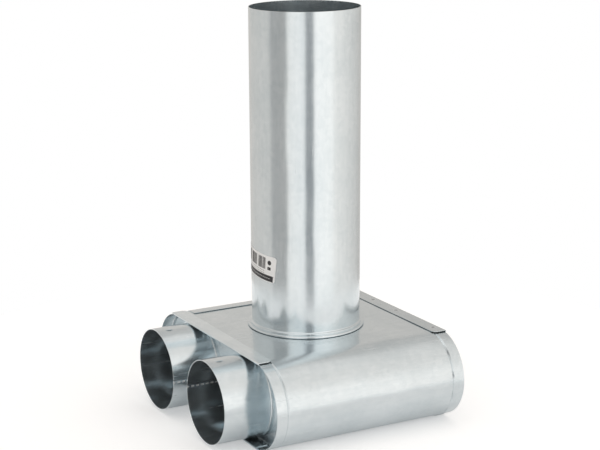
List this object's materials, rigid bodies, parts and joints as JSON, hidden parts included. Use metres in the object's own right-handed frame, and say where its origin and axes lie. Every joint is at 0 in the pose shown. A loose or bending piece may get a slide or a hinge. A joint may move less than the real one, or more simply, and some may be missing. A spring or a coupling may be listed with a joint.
{
  "type": "ceiling air outlet plenum box",
  "caption": "Flat oval sheet-metal plenum box with a tall round neck for a ceiling valve and round spigots for air ducts.",
  "frame": {"origin": "centre of the neck's open mouth", "axes": "+Z out of the neck's mouth, along the neck; the spigots point along -Y; the box is widest along X"},
  "size_m": [0.3, 0.285, 0.4661],
  "materials": {
    "casing_sheet": "bright galvanised sheet, rolled and lightly smeared",
    "plate_sheet": "galvanised sheet, folded",
    "neck_sheet": "bright galvanised sheet, rolled, with fine marks down its length",
    "spigot_sheet": "bright galvanised sheet, rolled",
    "label_paper": "satin coated paper with plain printed fields"
  },
  "bodies": {
    "root": {"casing": "casing_sheet", "front_end_plate": "plate_sheet", "rear_end_plate": "plate_sheet", "neck": "neck_sheet", "left_spigot": "spigot_sheet", "right_spigot": "spigot_sheet", "neck_label": "label_paper"}
  },
  "joints": []
}
